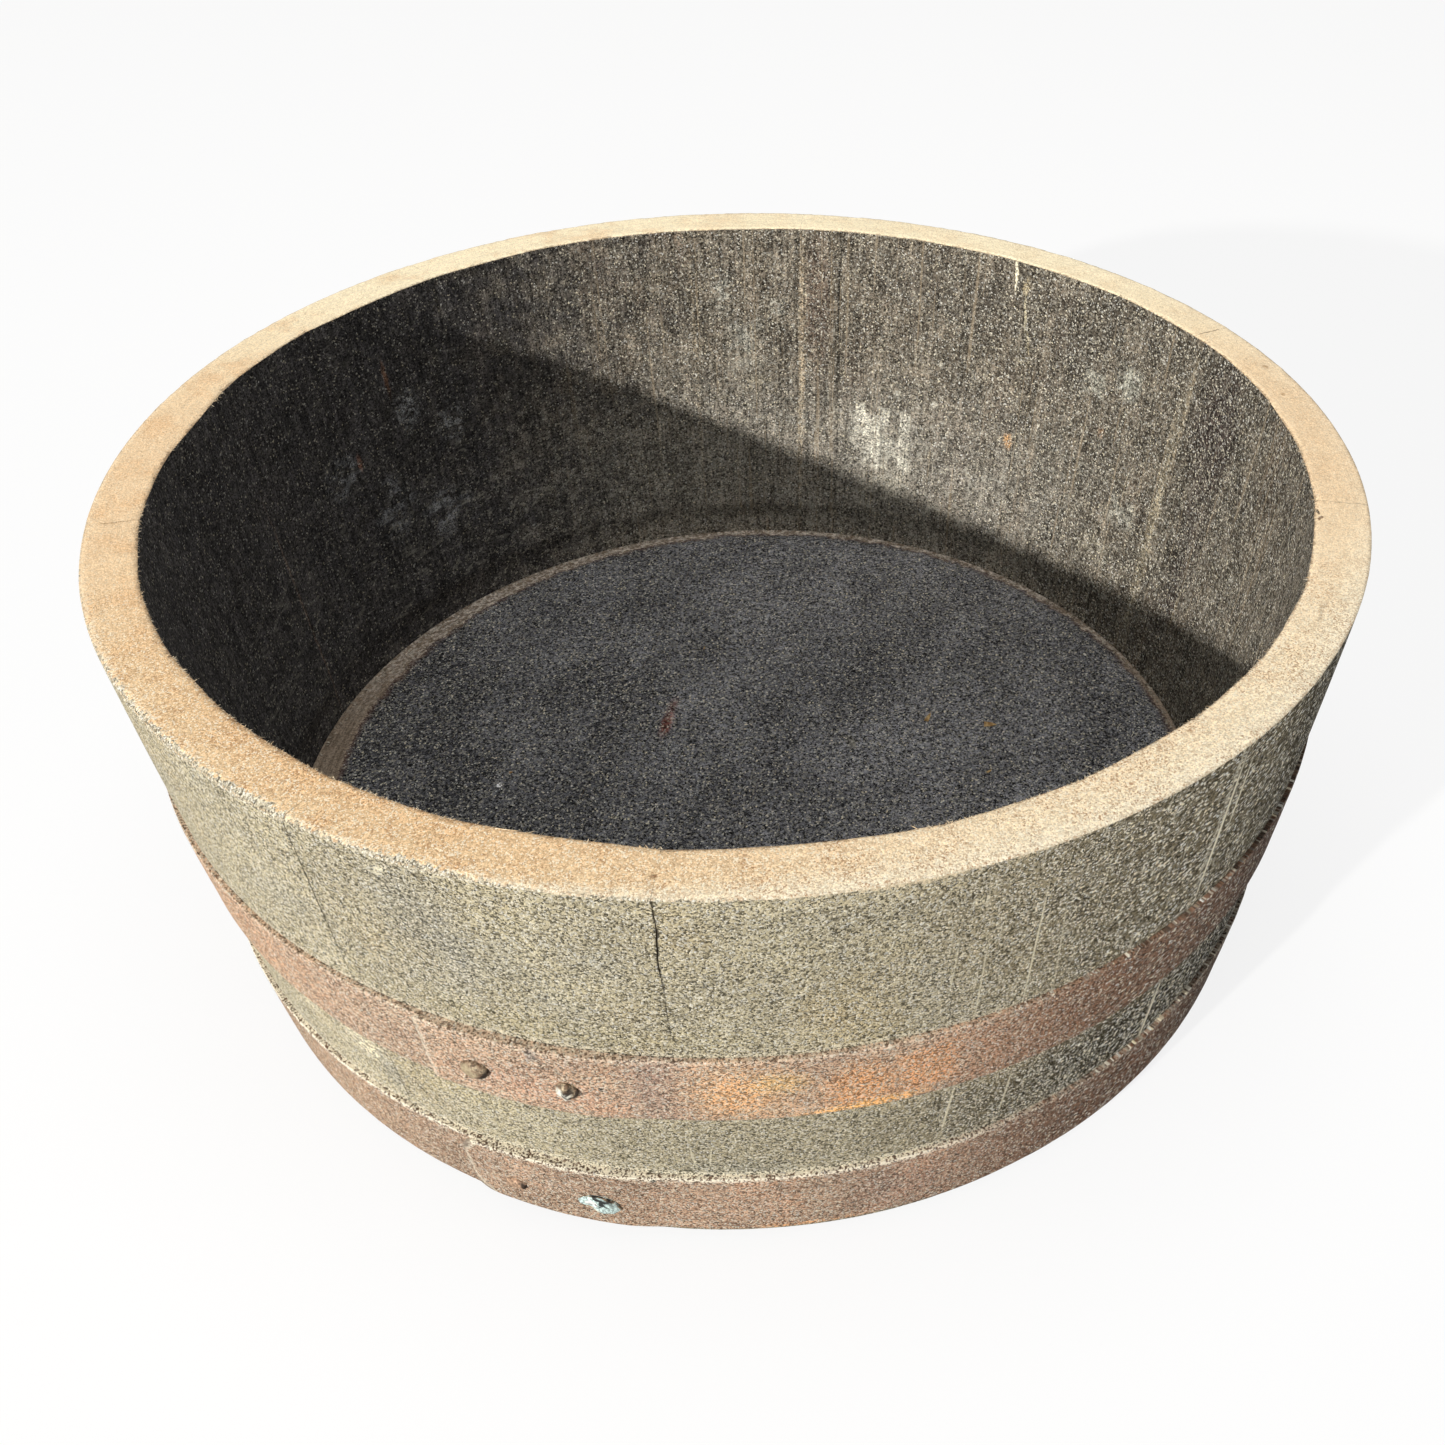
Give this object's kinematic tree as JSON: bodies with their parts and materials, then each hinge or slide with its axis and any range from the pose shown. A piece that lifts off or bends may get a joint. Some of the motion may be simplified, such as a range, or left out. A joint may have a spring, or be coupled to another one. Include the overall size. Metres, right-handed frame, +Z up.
{
  "type": "half barrel planter",
  "caption": "Shallow round tub cut from the end of an oak cask: tapered stave wall, boarded floor set in a groove, riveted flat steel hoops, open top.",
  "frame": {"origin": "centre of the ring that the tub stands on, on the ground", "axes": "+Z up through the open top, -Y towards the front, which has the long joint crack, with the hoops' riveted laps to its left"},
  "size_m": [0.6398, 0.6397, 0.2595],
  "materials": {
    "stave_oak": "weathered grey oak outside, charred inside, fresh-sawn pale rim",
    "head_oak": "charred black, with a pale cut edge",
    "dowel_wood": "plain",
    "hoop_steel": "rusted matt",
    "rivet_steel": "worn and rusted"
  },
  "bodies": {
    "root": {"stave_01": "stave_oak", "stave_02": "stave_oak", "stave_03": "stave_oak", "stave_04": "stave_oak", "stave_05": "stave_oak", "stave_06": "stave_oak", "stave_07": "stave_oak", "stave_08": "stave_oak", "stave_09": "stave_oak", "stave_10": "stave_oak", "stave_11": "stave_oak", "stave_12": "stave_oak", "stave_13": "stave_oak", "stave_14": "stave_oak", "stave_15": "stave_oak", "stave_16": "stave_oak", "stave_17": "stave_oak", "stave_18": "stave_oak", "stave_19": "stave_oak", "stave_20": "stave_oak", "stave_21": "stave_oak", "stave_22": "stave_oak", "stave_23": "stave_oak", "stave_24": "stave_oak", "stave_25": "stave_oak", "stave_26": "stave_oak", "stave_27": "stave_oak", "stave_28": "stave_oak", "stave_29": "stave_oak", "stave_30": "stave_oak", "head_board_1": "head_oak", "head_board_2": "head_oak", "head_board_3": "head_oak", "head_board_4": "head_oak", "head_board_5": "head_oak", "head_board_6": "head_oak", "head_dowel_1a": "dowel_wood", "head_dowel_1b": "dowel_wood", "head_dowel_2a": "dowel_wood", "head_dowel_2b": "dowel_wood", "head_dowel_3a": "dowel_wood", "head_dowel_3b": "dowel_wood", "head_dowel_4a": "dowel_wood", "head_dowel_4b": "dowel_wood", "head_dowel_5a": "dowel_wood", "head_dowel_5b": "dowel_wood", "quarter_hoop": "hoop_steel", "head_hoop": "hoop_steel", "quarter_hoop_rivet_1": "rivet_steel", "quarter_hoop_rivet_2": "rivet_steel", "head_hoop_rivet_1": "rivet_steel", "head_hoop_rivet_2": "rivet_steel"}
  },
  "joints": []
}
